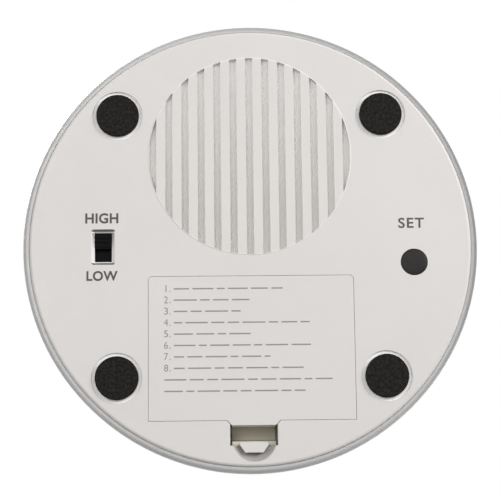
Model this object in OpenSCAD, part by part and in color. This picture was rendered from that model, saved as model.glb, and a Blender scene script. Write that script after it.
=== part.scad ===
// Talking clock: a round case that stands on four pads, with a press dome on top that speaks the
// time and with the speaker grille, the keys and the battery door in its bottom cover.
// It stands on the table at z = 0 with +Z up. The origin is under its centre and the grille is at -Y.

/* [Case] */
// Diameter over the widest part of the housing
case_d = 114; // [112:0.5:120]
// Height of the housing's lip round the dome
lip_z = 30.5; // [29:0.5:36]
// Wall of the housing
wall = 2.4; // [2:0.1:2.8]
// Fullness of the housing's side, where 2 is an ellipse
side_power = 2.3; // [2:0.1:3]
// Width of the housing rim that shows round the bottom cover
rim_w = 1.6; // [1.4:0.1:2.2]
// Radius of the rounded edge under that rim
rim_round = 1.1; // [0.6:0.1:1.4]
// Step from the cover's face up to the rim
rim_step = 0.6; // [0.2:0.05:0.8]
// Gap between the cover's edge and the rim
seam_gap = 0.05; // [0.04:0.01:0.15]
// Thickness of the deck under the dome
deck_t = 2; // [1.6:0.1:2.6]
// Height of the deck's top face
deck_z = 26; // [25.5:0.1:26.5]

/* [Dome button] */
// Diameter of the dome
dome_d = 81.8; // [76:0.2:84]
// Rise of the dome above its skirt
dome_rise = 12.7; // [11:0.1:16]
// Height at which the dome's skirt ends and its curve begins
dome_base_z = 31.2; // [31:0.1:32]
// Fullness of the dome's curve, where 2 is an ellipse
dome_power = 2.2; // [2:0.1:2.6]
// Wall of the dome
dome_wall = 2.2; // [1.8:0.1:2.6]
// Gap round the dome in the lip
dome_gap = 0.4; // [0.3:0.05:0.8]
// How far the dome goes down when pressed
press = 1.6; // [1:0.1:2]
// Diameter of the dome's guide pegs
peg_d = 5; // [4.6:0.1:6]
// Distance of the pegs from the centre
peg_r = 26; // [24:0.5:30]
// Number of pegs
pegs = 3; // [3:1:4]

/* [Bottom cover] */
// Thickness of the cover plate
cover_t = 2.2; // [2:0.1:2.6]
// Radius of the plate's rounded edge
cover_round = 0.8; // [0.4:0.1:1.2]
// Gap between moulded parts that fit into each other
fit_gap = 0.15; // [0.1:0.01:0.25]
// Height of the locating ring behind the plate
spigot_h = 4; // [3:0.5:6]
// Thickness of the ribs and rings behind the plate
rib_t = 1.4; // [1.2:0.1:1.6]

/* [Feet and case screws] */
// Distance of each foot's centre from the case's edge
foot_inset = 9.8; // [9.4:0.1:11]
// Diameter of a foot pad
pad_d = 10.8; // [9:0.2:11.4]
// How far the pads stand below the cover
pad_proud = 0.8; // [0.6:0.1:1.5]
// Width of the ring of recess round a pad
pad_ring = 0.9; // [0.5:0.1:1.2]
// Depth of a pad's recess
pad_recess = 0.4; // [0.3:0.1:1]
// Height at which the cover's posts meet the housing's bosses
join_z = 12; // [11:0.5:14]
// Diameter of the case screws
screw_d = 2.6; // [2.2:0.1:3]
// Diameter of their heads
screw_head_d = 4.8; // [4.4:0.1:5.2]
// Height of their heads
screw_head_h = 1.8; // [1.4:0.1:2.2]
// Length of thread in the housing
screw_bite = 8; // [6:0.5:9]
// Plastic under each head
screw_seat = 2; // [1.6:0.1:2.6]
// Wall round a screw or its head
screw_wall = 1.3; // [1.1:0.1:1.6]

/* [Speaker grille] */
// Diameter of the grille
grille_d = 51; // [46:0.5:51.5]
// Distance of the grille's centre from the case's edge
grille_inset = 34.1; // [33:0.1:34.5]
// How far the grille's ribs stand proud of the plate
grille_proud = 0.1; // [0.05:0.05:0.5]
// Thickness of the ribs between the slots
grille_t = 1.4; // [1.2:0.1:1.8]
// Width of a slot
slot_w = 1.8; // [1.2:0.1:2.4]
// Distance from slot to slot
slot_pitch = 4.08; // [3.4:0.02:5]

/* [Speaker] */
// Diameter of the speaker
speaker_d = 51.6; // [50:0.1:52]
// Height of its basket above the flange
basket_h = 7; // [6:0.5:8]
// Diameter of the magnet
magnet_d = 22; // [18:1:26]
// Height of the magnet
magnet_h = 5.2; // [4:0.2:5.6]
// Diameter of the voice coil
coil_d = 14; // [12:0.5:15]
// Thickness of the screen behind the slots
screen_t = 0.4; // [0.3:0.1:0.6]
// Thickness of the gasket in front of the cone
gasket_t = 2.3; // [2:0.1:2.9]
// Thickness of the steel flange and basket
steel_t = 0.8; // [0.6:0.1:1]

/* [Batteries] */
// Diameter of a cell
cell_d = 10.5; // [10:0.1:10.8]
// Length of a cell with its nub
cell_l = 44.5; // [43:0.1:45]
// Gap between two cells
cell_gap = 0.4; // [0.3:0.1:0.8]
// Gap between the outer cells and the wall
cell_side = 0.65; // [0.4:0.05:1]
// Gap between the cells and the door
cell_lift = 0.4; // [0.35:0.05:0.8]
// Height of the nub on a cell
nub_h = 1; // [0.8:0.1:1.4]
// Diameter of the nub
nub_d = 3.8; // [3.4:0.1:5]
// Thickness of a contact plate
contact_t = 0.4; // [0.3:0.05:0.5]
// Height of the bump that meets a nub
bump_h = 0.7; // [0.5:0.05:0.9]
// Length of a battery spring
coil_l = 3.3; // [3.2:0.1:4]
// Wire of the springs
wire_d = 0.5; // [0.4:0.05:0.5]
// Wall of the battery compartment
comp_wall = 2; // [1.6:0.1:2.2]
// Thickness of its roof over a cell
comp_roof = 1.6; // [1.2:0.1:2]

/* [Battery door] */
// Distance of the latch's window from the case's edge
latch_inset = 6.8; // [6.4:0.1:7.2]
// Thickness of the door
door_t = 1.6; // [1.4:0.1:1.8]
// Gap round the door
door_gap = 0.1; // [0.08:0.01:0.2]
// Ledge that carries the door at its ends
ledge_x = 1; // [0.8:0.05:1.3]
// Ledge that carries the door at its long edges
ledge_y = 1.25; // [1:0.05:1.5]
// Chamfer of the door's corners
door_chamfer = 0.7; // [0.4:0.1:1.2]
// Width of a hinge tab
tab_w = 6; // [4:0.5:8]
// Distance between the hinge tabs
tab_pitch = 30; // [24:1:36]
// Reach of a hinge tab behind the plate
tab_reach = 1.4; // [1:0.1:1.6]
// Thickness of a hinge tab
tab_t = 1; // [0.8:0.05:1.1]

/* [Latch] */
// Offset of the latch from the centre line
latch_x = 0.35; // [-2:0.05:2]
// Width of the window that the latch stands in
latch_w = 11.75; // [10:0.25:14]
// Length of the window
latch_l = 5; // [4.6:0.1:5.2]
// Gap between the latch spring and the window's sides
latch_side = 0.5; // [0.3:0.05:0.8]
// Depth of the latch spring's bend
latch_depth = 8.5; // [7:0.25:9]
// Thickness of the latch spring
latch_t = 1; // [0.8:0.05:1.1]
// Length of the tongue that carries the latch
tongue_l = 1.1; // [0.9:0.05:1.4]
// Flare of the tongue on each side
tongue_flare = 0.95; // [0.5:0.05:1.4]
// Reach of the thumb tab past the window
thumb_l = 1.7; // [1.2:0.1:2]
// Width of the thumb tab at its root
thumb_w = 7; // [6:0.2:8]
// Width of the thumb tab at its tip
thumb_tip_w = 4.4; // [3:0.1:5]
// Thickness of the thumb tab
thumb_t = 0.9; // [0.7:0.05:1]
// Radius of the finger scallop
scallop_r = 5.6; // [5:0.1:5.8]
// Depth of the scallop at its middle
scallop_depth = 2.4; // [2.2:0.1:2.6]

/* [Set key] */
// Distance of the key's centre from the case's edge
set_inset = 16.1; // [15.5:0.1:17.5]
// Distance of the key behind the centre
set_y = 4.9; // [3:0.1:7]
// Diameter of the key
set_d = 6.5; // [5.5:0.1:7.5]
// How far the key stands proud of the cover
set_proud = 0.3; // [0.1:0.05:0.5]
// How far the key goes in when pressed
set_travel = 0.8; // [0.5:0.1:1]
// Height of the key's crown
set_crown = 0.35; // [0.2:0.05:0.5]
// Width of the collar that keeps the key in
set_collar = 1; // [0.8:0.1:1.4]

/* [Volume slider] */
// Distance of the window's centre from the case's edge
vol_inset = 20.1; // [19:0.1:21]
// Distance of the window behind the centre
vol_y = 0.45; // [-1:0.05:2]
// Width of the window inside its bevel
vol_w = 4.3; // [3.6:0.05:5]
// Length of the window inside its bevel
vol_l = 7.4; // [6.6:0.1:8.4]
// Width of the bevel round the window
vol_bevel = 0.8; // [0.5:0.01:1]
// Length of the finger grip
grip_l = 3.9; // [3:0.1:4.4]
// Depth of the grip below the cover's face
grip_sink = 0.5; // [0.3:0.05:0.8]
// Width that the slider's skirt reaches past the window
skirt_lap = 0.5; // [0.4:0.05:0.8]
// Thickness of the skirt
skirt_t = 1; // [0.8:0.05:1.2]

/* [Boards and switches] */
// Thickness of the circuit boards
board_t = 1.6; // [1.2:0.2:2]
// Height of the underside of the lower boards
board_z = 10; // [9.6:0.1:11]
// Width of the main board
main_w = 17; // [16:0.5:17]
// Length of the main board
main_l = 34; // [30:0.5:36]
// Width of the volume board
vol_board_w = 12; // [11:0.5:13]
// Length of the volume board
vol_board_l = 32; // [31:0.5:36]
// Width of the board under the dome
top_board_w = 16; // [12:0.5:20]
// Length of the board under the dome
top_board_l = 26; // [24:0.5:34]
// Height of the pads under that board
top_board_lift = 1; // [0.8:0.1:1.4]
// Side of a push switch
tact_w = 6; // [5.4:0.1:6.4]
// Height of a push switch's body
tact_h = 3.5; // [3:0.1:3.6]
// Diameter of its plunger
tact_plunger_d = 3.4; // [3:0.1:4]
// Length of its plunger
tact_plunger_l = 1.4; // [1:0.1:1.5]
// Gap left under a plunger at the end of the press
tact_gap = 0.06; // [0.05:0.01:0.15]
// Diameter of the small screws
small_screw_d = 2; // [1.6:0.1:2.2]
// Diameter of their heads
small_head_d = 3.8; // [3.4:0.1:4.2]
// Height of their heads
small_head_h = 1.3; // [1:0.1:1.6]
// Length of their thread in the plastic
small_bite = 3.2; // [2.6:0.1:3.4]
// Diameter of the washer heads that hold the speaker
clamp_head_d = 7.2; // [6.8:0.1:7.6]

/* [Hidden] */
$fn = 72;
cut = 1;            // how far a cutter runs past the face it opens
slip = 0.05;        // radial gap of a screw, peg or plunger in its hole
cells = 3;

// Heights from the table up
face_z = pad_proud;
plate_z = face_z + cover_t;
seat_z = face_z - grille_proud + grille_t;
gasket_z = seat_z + screen_t;
flange_z = gasket_z + gasket_t;
clamp_z = flange_z + steel_t;
magnet_z = clamp_z + basket_h;
cell_z = face_z + door_t + cell_lift + cell_d / 2;
roof_z = cell_z + cell_d / 2 + slip + comp_roof;
rim_z = face_z + rim_step;
crown_z = dome_base_z + dome_rise;
skirt_end_z = deck_z + press + 0.6;
tact_z = board_z - tact_h - tact_plunger_l;
top_tact_z = deck_z + top_board_lift + board_t + tact_h + tact_plunger_l;

// Radii about the case's axis
case_r = case_d / 2;
cover_r = case_r - rim_w;
rebate_r = cover_r + seam_gap;
inner_r = case_r - wall;
spigot_r = inner_r - fit_gap;
dome_r = dome_d / 2;
well_r = dome_r + dome_gap;
well_wall = 1.8;
lip_round = 0.8;

// Battery compartment and door
comp_w = cell_l + 2 * contact_t + bump_h + coil_l;
comp_l = cells * cell_d + (cells - 1) * cell_gap + 2 * cell_side;
door_w = comp_w + 2 * ledge_x;
door_l = comp_l + 2 * ledge_y;
window_end_y = case_r - latch_inset;
tongue_end_y = window_end_y - latch_l;
door_end_y = tongue_end_y - tongue_l;
door_y = door_end_y - door_l;
comp_y = door_y + ledge_y;
contact_h = cell_d * 0.76;
tab_z = plate_z + door_gap;
swing_r = window_end_y - door_y - door_gap;
latch_wall = 1;
tongue_side = 0.225;    // how far the tongue's end stays inside the window's width on each side
thumb_root = 0.6;       // length of the thumb tab's root inside the window
shoulder = 2.5 * thumb_t;    // how far the latch's leg is cut down beside the thumb tab
tab_room = 0.9;         // room over a hinge tab for its swing
overlap = 0.2;          // how far two shapes of one moulding run into each other
pocket_y = tongue_end_y - latch_t - fit_gap;

// Places of the feet, and of the screws on the boards and round the speaker
FEET = [for (a = [45:90:315]) (case_r - foot_inset) * [cos(a), sin(a)]];
speaker = [0, grille_inset - case_r];
speaker_seat_r = speaker_d / 2 + fit_gap;
set_at = [case_r - set_inset, set_y];
vol_at = [vol_inset - case_r, vol_y];
main_at = set_at + [-3.4, -1.9];
board_inset = 3;
MAIN_SCREWS = [for (sx = [-1, 1], sy = [-1, 1])
    main_at + [sx * (main_w / 2 - board_inset), sy * (main_l / 2 - board_inset)]];
VOL_SCREWS = [for (sy = [-1, 1]) vol_at + [0, sy * (vol_board_l / 2 - board_inset)]];
TOP_SCREWS = [for (sy = [-1, 1]) [0, sy * (top_board_l / 2 - board_inset)]];
clamp_post_r = small_screw_d / 2 + screw_wall;
clamp_r = speaker_seat_r + clamp_post_r + slip;
CLAMPS = [for (a = [35, 145, 215, 325]) speaker + clamp_r * [cos(a), sin(a)]];
PEGS = [for (i = [0:pegs - 1]) peg_r * [cos(90 + i * 360 / pegs), sin(90 + i * 360 / pegs)]];
board_post_r = small_screw_d / 2 + screw_wall;
foot_post_r = screw_head_d / 2 + 2 * slip + screw_wall;

// Slider
vol_travel = vol_l - grip_l - 2 * fit_gap;
grip_w = vol_w - 2 * fit_gap;
grip_y = -vol_l / 2 + fit_gap + grip_l / 2;
skirt_w = vol_w + 2 * skirt_lap;
skirt_l = vol_l + 2 * skirt_lap + vol_travel;
skirt_y = -vol_travel / 2;
skirt_z = plate_z + fit_gap;
lever_w = 1.6;
lever_l = 2.2;
can_w = 4.4;
can_l = 9.4;
can_h = 3.6;

// Parts on the main board
crystal_l = 6;
capacitor_d = 5;
capacitor_h = 6.4;

// Push keys
dome_stem_z = top_tact_z + press + tact_gap;
dome_stem_d = 8;
set_stem_z = tact_z - set_travel - tact_gap;
set_collar_r = set_d / 2 + set_collar;
set_collar_t = 0.9;

// Springs under the dome
dome_spring_r = peg_d / 2 + 1.1;
dome_spring_l = 6;
dome_spring_turns = 4;
battery_spring_turns = 3;
battery_spring_r = 3.8;
battery_spring_tip_r = 2.2;
curl_rings = 8;
tube_sides = 6;
washer_t = 0.8;
washer_d = peg_d + 3.4;

// Points on an elliptic arc about c with half axes r, from angle a0 to a1 in n steps
function arc(c, r, a0, a1, n) =
    [for (i = [0:n]) let (a = a0 + (a1 - a0) * i / n) [c[0] + r[0] * cos(a), c[1] + r[1] * sin(a)]];

// A quarter of a superellipse that starts upright at [r0, z0] and ends level at [r1, z1]
function swell(r0, z0, r1, z1, power, n) =
    [for (i = [0:n]) let (a = 90 * i / n)
        [r1 + (r0 - r1) * pow(cos(a), 2 / power), z0 + (z1 - z0) * pow(sin(a), 2 / power)]];

function reverse(list) = [for (i = [len(list) - 1:-1:0]) list[i]];
function unit(v) = v / norm(v);

// Tangent of a path at its point i, halfway between the directions of the steps that meet there
function heading(path, i) = let (n = len(path) - 1)
    unit((i > 0 ? unit(path[i] - path[i - 1]) : [0, 0, 0])
        + (i < n ? unit(path[i + 1] - path[i]) : [0, 0, 0]));

// A round tube of radius r along a path, where side[i] points across the path at point i
module tube(path, side, r, sides = tube_sides) {
    n = len(path);
    points = [for (i = [0:n - 1]) let (t = heading(path, i), u = unit(side[i] - (side[i] * t) * t),
            v = cross(t, u))
        for (k = [0:sides - 1]) path[i] + r * (cos(k * 360 / sides) * u + sin(k * 360 / sides) * v)];
    walls = [for (i = [0:n - 2], k = [0:sides - 1]) let (a = i * sides + k,
            b = i * sides + (k + 1) % sides)
        each [[a, a + sides, b], [b, a + sides, b + sides]]];
    caps = [for (k = [1:sides - 2]) each [[0, k, k + 1],
        [(n - 1) * sides, (n - 1) * sides + k + 1, (n - 1) * sides + k]]];
    polyhedron(points, concat(walls, caps));
}

// Path of a coil that climbs from z = 0 to length l while its radius goes from r0 to r1, with a
// straight end one wire long at each end that meets its seat square
function coil_angle(i) = i * 360 / curl_rings;
function coil_path(r0, r1, l, turns) = let (n = turns * curl_rings, rise = l - 2 * wire_d)
    concat([[r0, 0, 0]],
        [for (i = [0:n]) let (r = r0 + (r1 - r0) * i / n)
            [r * cos(coil_angle(i)), r * sin(coil_angle(i)), wire_d + rise * i / n]],
        [[r1, 0, l]]);
function coil_sides(turns) = let (n = turns * curl_rings)
    concat([[1, 0, 0]], [for (i = [0:n]) [cos(coil_angle(i)), sin(coil_angle(i)), 0]], [[1, 0, 0]]);
function coil_gap(r0, r1, l, turns) =
    norm([(r1 - r0) / turns, (l - 2 * wire_d) / turns]) - wire_d;

module coil(r0, r1, l, turns) {
    tube(coil_path(r0, r1, l, turns), coil_sides(turns), wire_d / 2);
}

echo(battery_spring_gap = coil_gap(battery_spring_r, battery_spring_tip_r, coil_l,
    battery_spring_turns));
echo(dome_spring_gap = coil_gap(dome_spring_r, dome_spring_r, dome_spring_l, dome_spring_turns));

module at(p, z = 0) { translate([p[0], p[1], z]) children(); }

module bar(x0, x1, y0, y1, z0, z1) { translate([x0, y0, z0]) cube([x1 - x0, y1 - y0, z1 - z0]); }

module ring(r_out, r_in, h) {
    difference() {
        cylinder(r = r_out, h = h);
        translate([0, 0, -cut]) cylinder(r = r_in, h = h + 2 * cut);
    }
}

// A countersunk rectangle: w by l at the far end, wider by the bevel at z = 0, cut downwards too
module bevel_cutter(w, l, bevel) {
    intersection() {
        rotate([90, 0, 0]) linear_extrude(l + 4 * bevel, center = true)
            polygon([[-w / 2 - 2 * bevel, -bevel], [w / 2 + 2 * bevel, -bevel], [w / 2, bevel],
                [-w / 2, bevel]]);
        rotate([90, 0, 90]) linear_extrude(w + 4 * bevel, center = true)
            polygon([[-l / 2 - 2 * bevel, -bevel], [l / 2 + 2 * bevel, -bevel], [l / 2, bevel],
                [-l / 2, bevel]]);
    }
}

// A cross-head screw that points up from its seat at z = 0, with its head below
module screw(d, head_d, head_h, l) {
    cross = [head_d * 0.55, d * 0.22];
    difference() {
        union() {
            cylinder(d = d, h = l);
            rotate_extrude() polygon(concat([[0, 0], [head_d / 2, 0]],
                arc([0, -head_h * 0.4], [head_d / 2, head_h * 0.6], 0, -90, 8)));
        }
        for (a = [0, 90]) rotate(a) translate([-cross[0] / 2, -cross[1] / 2, -head_h - cut])
            cube([cross[0], cross[1], head_h * 0.5 + cut]);
    }
}

module small_screw(l) { screw(small_screw_d, small_head_d, small_head_h, l); }

// A push switch with its plunger pointing down from z = 0
module push_switch() {
    translate([-tact_w / 2, -tact_w / 2, -tact_h]) cube([tact_w, tact_w, tact_h]);
    translate([0, 0, -tact_h - tact_plunger_l]) cylinder(d = tact_plunger_d, h = tact_plunger_l + overlap);
}

// Plan of the door and its tongue, grown by g on every side
module door_plan(g) {
    half = latch_w / 2 - tongue_side;
    polygon([[-door_w / 2 + door_chamfer, door_y - g], [door_w / 2 - door_chamfer, door_y - g],
        [door_w / 2 + g, door_y + door_chamfer], [door_w / 2 + g, door_end_y + g],
        [latch_x + half + tongue_flare + g, door_end_y + g], [latch_x + half + g, tongue_end_y + g],
        [latch_x - half - g, tongue_end_y + g], [latch_x - half - tongue_flare - g, door_end_y + g],
        [-door_w / 2 - g, door_end_y + g], [-door_w / 2 - g, door_y + door_chamfer]]);
}

// The grille's slots, cut off by its circle
module slot_plan() {
    last = floor((grille_d / 2 - 0.2) / slot_pitch);
    intersection() {
        translate(speaker) circle(d = grille_d);
        for (i = [-last:last]) translate([i * slot_pitch - slot_w / 2, speaker[1] - grille_d / 2])
            square([slot_w, grille_d]);
    }
}

module cover_plate() {
    rotate_extrude() polygon(concat([[0, face_z]],
        arc([cover_r - cover_round, face_z + cover_round], [cover_round, cover_round], -90, 0, 8),
        [[cover_r, plate_z], [0, plate_z]]));
    at(speaker, face_z - grille_proud) rotate_extrude() polygon([[0, 0],
        [grille_d / 2 + 0.1, 0], [grille_d / 2 + 0.1 + grille_proud, grille_proud],
        [grille_d / 2 + 0.1 + grille_proud, cover_t], [0, cover_t]]);
}

// Box over the cells, with a trough for each cell in its roof
module compartment() {
    difference() {
        bar(-comp_w / 2 - comp_wall, comp_w / 2 + comp_wall, comp_y - comp_wall,
            comp_y + comp_l + comp_wall, face_z + door_t, roof_z);
        difference() {
            bar(-comp_w / 2, comp_w / 2, comp_y, comp_y + comp_l, face_z, roof_z - comp_roof);
            for (i = [1:cells - 1]) {
                y = comp_y + cell_side + i * (cell_d + cell_gap) - cell_gap / 2;
                bar(-comp_w / 2, comp_w / 2, y - cell_d / 4, y + cell_d / 4,
                    cell_z + contact_h / 2 + fit_gap, roof_z);
            }
        }
        for (i = [0:cells - 1]) cell_axis(i)
            translate([-comp_w / 2, 0, 0]) rotate([0, 90, 0]) cylinder(d = cell_d + 2 * slip, h = comp_w);
    }
}

module cell_axis(i) {
    translate([0, comp_y + cell_side + cell_d / 2 + i * (cell_d + cell_gap), cell_z]) children();
}

// Walls of the pocket that the latch spring stands in, and the plastic behind the finger scallop
module latch_pocket() {
    half = latch_w / 2 + fit_gap + latch_wall;
    bar(latch_x - half, latch_x + half, pocket_y - latch_wall, window_end_y + fit_gap + latch_wall,
        face_z + door_t, face_z + latch_depth + latch_t + fit_gap + latch_wall);
    intersection() {
        at([latch_x, scallop_y()], face_z + cover_t / 2)
            cylinder(r = scallop_r + latch_wall, h = cover_t / 2 + latch_wall);
        cylinder(r = spigot_r, h = plate_z + latch_wall + cut);
    }
}

function scallop_y() = window_end_y - scallop_r / 4;
function scallop_sphere() = (scallop_r * scallop_r + scallop_depth * scallop_depth) / (2 * scallop_depth);

module bottom_cover() {
    color("gainsboro") difference() {
        union() {
            cover_plate();
            at([0, 0], plate_z) ring(spigot_r, spigot_r - rib_t, spigot_h);
            for (p = FEET) at(p, face_z + pad_recess / 2)
                cylinder(r = foot_post_r, h = join_z - face_z - pad_recess / 2);
            for (p = FEET) at(p, face_z + pad_recess + cover_t / 2)
                cylinder(d = pad_d, h = cover_t / 2);
            at(speaker, plate_z) cylinder(r = speaker_seat_r + rib_t, h = clamp_z - plate_z);
            for (p = CLAMPS) at(p, plate_z) cylinder(r = clamp_post_r, h = clamp_z - plate_z);
            for (p = concat(MAIN_SCREWS, VOL_SCREWS)) at(p, plate_z)
                cylinder(r = board_post_r, h = board_z - plate_z);
            at(set_at, plate_z) ring(set_collar_r + fit_gap + rib_t, set_collar_r + fit_gap,
                set_collar_t + set_travel);
            for (s = [-1, 1]) at(vol_at + [s * (skirt_w / 2 + fit_gap + rib_t / 2), 0],
                plate_z - cut) translate([-rib_t / 2, -skirt_l / 2, 0])
                    cube([rib_t, skirt_l, skirt_t + fit_gap + cut]);
            compartment();
            latch_pocket();
        }
        translate([0, 0, face_z - cut]) linear_extrude(cover_t + cut) slot_plan();
        at(speaker, seat_z) cylinder(r = speaker_seat_r, h = clamp_z - seat_z + cut);
        translate([0, 0, face_z - cut]) linear_extrude(door_t + cut) door_plan(0);
        bar(-comp_w / 2, comp_w / 2, comp_y, comp_y + comp_l, face_z, plate_z + slip);
        bar(latch_x - latch_w / 2, latch_x + latch_w / 2, tongue_end_y - latch_t - fit_gap,
            window_end_y, face_z - cut, face_z + latch_depth + latch_t + fit_gap);
        at([latch_x, scallop_y()], face_z - scallop_sphere() + scallop_depth)
            sphere(r = scallop_sphere());
        for (s = [-1, 1]) translate([s * tab_pitch / 2, 0, 0])
            bar(-tab_w / 2 - 2 * fit_gap, tab_w / 2 + 2 * fit_gap, comp_y - comp_wall - cut,
                comp_y + cut, plate_z, tab_z + tab_t + tab_room);
        for (s = [-1, 1]) translate([s * tab_pitch / 2, 0, 0])
            bar(-tab_w / 2 - 2 * fit_gap, tab_w / 2 + 2 * fit_gap, door_y, comp_y + cut,
                face_z, tab_z + tab_t);
        for (p = FEET) at(p, face_z - cut) {
            cylinder(d = pad_d + 2 * pad_ring, h = pad_recess + cut);
            cylinder(d = screw_head_d + 4 * slip, h = join_z - screw_seat - face_z + cut);
            cylinder(d = screw_d + 2 * slip, h = join_z + 2 * cut);
        }
        for (p = CLAMPS) at(p, clamp_z - small_bite - slip)
            cylinder(d = small_screw_d + 2 * slip, h = small_bite + cut);
        for (p = concat(MAIN_SCREWS, VOL_SCREWS)) at(p, board_z - small_bite - slip)
            cylinder(d = small_screw_d + 2 * slip, h = small_bite + cut);
        at(set_at, face_z - cut) cylinder(d = set_d + 2 * fit_gap, h = cover_t + 2 * cut);
        at(vol_at, face_z) bevel_cutter(vol_w, vol_l, vol_bevel);
        at(vol_at, face_z) translate([-vol_w / 2, -vol_l / 2, 0]) cube([vol_w, vol_l, cover_t + cut]);
    }
}

// The latch spring in the plane of its bend: a leg down from the tongue, a bend and a leg back up
// whose outer face is an arc about the hinge, so that it swings out of its window
module latch_profile() {
    top = latch_depth + latch_t;
    difference() {
        intersection() {
            translate([tongue_end_y - latch_t, 0]) square([latch_l + latch_t, top]);
            translate([door_y, 0]) circle(r = swing_r, $fn = 180);
        }
        intersection() {
            translate([tongue_end_y, -cut]) square([latch_l, latch_depth + cut]);
            translate([door_y, 0]) circle(r = swing_r - latch_t, $fn = 180);
        }
        translate([window_end_y - latch_l / 2, -cut]) square([latch_l, shoulder + cut]);
    }
}

module battery_door() {
    half = latch_w / 2 - latch_side;
    root_y = window_end_y - door_gap - thumb_root;
    color("gainsboro") {
        translate([0, 0, face_z]) linear_extrude(door_t - door_gap) door_plan(-door_gap);
        for (s = [-1, 1]) translate([s * tab_pitch / 2, 0, 0]) {
            bar(-tab_w / 2, tab_w / 2, door_y + 2 * door_gap, door_y + 2 * door_gap + 1.5,
                face_z + door_t - door_gap - overlap, tab_z + tab_t);
            bar(-tab_w / 2, tab_w / 2, door_y - tab_reach, door_y + 2 * door_gap + overlap,
                tab_z, tab_z + tab_t);
        }
        for (s = [-1, 1]) bar(s * comp_w / 4 - 0.5, s * comp_w / 4 + 0.5, comp_y + 1,
            comp_y + comp_l - 1, face_z + door_t - door_gap - overlap, face_z + door_t + 0.1);
        translate([latch_x - half, 0, face_z]) rotate([90, 0, 90])
            linear_extrude(2 * half) latch_profile();
        translate([latch_x, 0, face_z]) linear_extrude(thumb_t) polygon([
            [-thumb_w / 2, root_y], [thumb_w / 2, root_y], [thumb_w / 2, root_y + thumb_root],
            [thumb_tip_w / 2, window_end_y + thumb_l], [-thumb_tip_w / 2, window_end_y + thumb_l],
            [-thumb_w / 2, root_y + thumb_root]]);
        translate([latch_x - thumb_w / 2, root_y, face_z])
            cube([thumb_w, thumb_root - door_gap, shoulder + overlap]);
    }
}

module foot_pads() {
    t = pad_proud + pad_recess;
    color("#262424") for (p = FEET) at(p) rotate_extrude()
        polygon(concat([[0, 0]], arc([pad_d / 2 - 0.3, 0.3], [0.3, 0.3], -90, 0, 4),
            [[pad_d / 2, t], [0, t]]));
}

module set_button() {
    color("#3e3a38") at(set_at) {
        rotate_extrude() polygon(concat(
            arc([0, face_z - set_proud + set_crown], [set_d / 2, set_crown], -90, 0, 8),
            [[set_d / 2, plate_z], [set_collar_r, plate_z], [set_collar_r, plate_z + set_collar_t],
            [0, plate_z + set_collar_t]]));
        translate([0, 0, plate_z]) cylinder(d = tact_plunger_d, h = set_stem_z - plate_z);
    }
}

module volume_knob() {
    ridge = 0.25;
    color("#1b1a1a") difference() {
        union() {
            at(vol_at + [0, grip_y], face_z + grip_sink + ridge)
                translate([-grip_w / 2, -grip_l / 2, 0])
                    cube([grip_w, grip_l, skirt_z - face_z - grip_sink]);
            for (i = [-1:1]) at(vol_at + [0, grip_y + i * grip_l / 3.4], face_z + grip_sink)
                translate([-grip_w / 2, -0.3, 0]) cube([grip_w, 0.6, 2 * ridge]);
            at(vol_at + [0, skirt_y], skirt_z) translate([-skirt_w / 2, -skirt_l / 2, 0])
                cube([skirt_w, skirt_l, skirt_t]);
            at(vol_at + [0, grip_y], skirt_z) translate([-can_w / 2 + 0.5, -lever_l / 2 - rib_t / 2, 0])
                cube([can_w - 1, lever_l + rib_t, board_z - can_h - 0.3 - skirt_z]);
        }
        at(vol_at + [0, grip_y], skirt_z + skirt_t) translate([-lever_w / 2, -lever_l / 2, 0])
            cube([lever_w, lever_l, can_h * 2]);
    }
}

module volume_lever() {
    color("#1b1a1a") at(vol_at + [0, grip_y], skirt_z + skirt_t) {
        translate([-lever_w / 2, -lever_l / 2, 0])
            cube([lever_w, lever_l, board_z - can_h - skirt_z - skirt_t + 0.6]);
        translate([-can_w / 2 + 0.6, -lever_l, board_z - can_h - skirt_z - skirt_t + 0.6])
            cube([can_w - 1.2, 2 * lever_l, 1]);
    }
}

module volume_switch() {
    sheet = 0.4;
    slot_l = lever_l + vol_travel + 2 * fit_gap;
    color("silver") at(vol_at, board_z - can_h) difference() {
        translate([-can_w / 2, -can_l / 2, 0]) cube([can_w, can_l, can_h]);
        translate([-can_w / 2 + sheet, -can_l / 2 + sheet, sheet])
            cube([can_w - 2 * sheet, can_l - 2 * sheet, can_h - 2 * sheet]);
        translate([-lever_w / 2 - fit_gap, -slot_l / 2, -cut])
            cube([lever_w + 2 * fit_gap, slot_l, cut + 2 * sheet]);
    }
}

module board(at_xy, w, l, z, holes) {
    difference() {
        at(at_xy, z) translate([-w / 2, -l / 2, 0]) cube([w, l, board_t]);
        for (p = holes) at(p, z - cut) cylinder(d = small_screw_d + 2 * slip, h = board_t + 2 * cut);
    }
}

module volume_board() {
    color("#c9a35a") board(vol_at, vol_board_w, vol_board_l, board_z, VOL_SCREWS);
}

module main_board() {
    color("#3f7a3c") board(main_at, main_w, main_l, board_z, MAIN_SCREWS);
}

module grille_screen() {
    color("#c9c6c2") at(speaker, seat_z) cylinder(d = speaker_d, h = screen_t);
}

module speaker_gasket() {
    color("#2a2826") at(speaker, gasket_z) ring(speaker_d / 2, speaker_d / 2 - 3, gasket_t);
}

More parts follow.
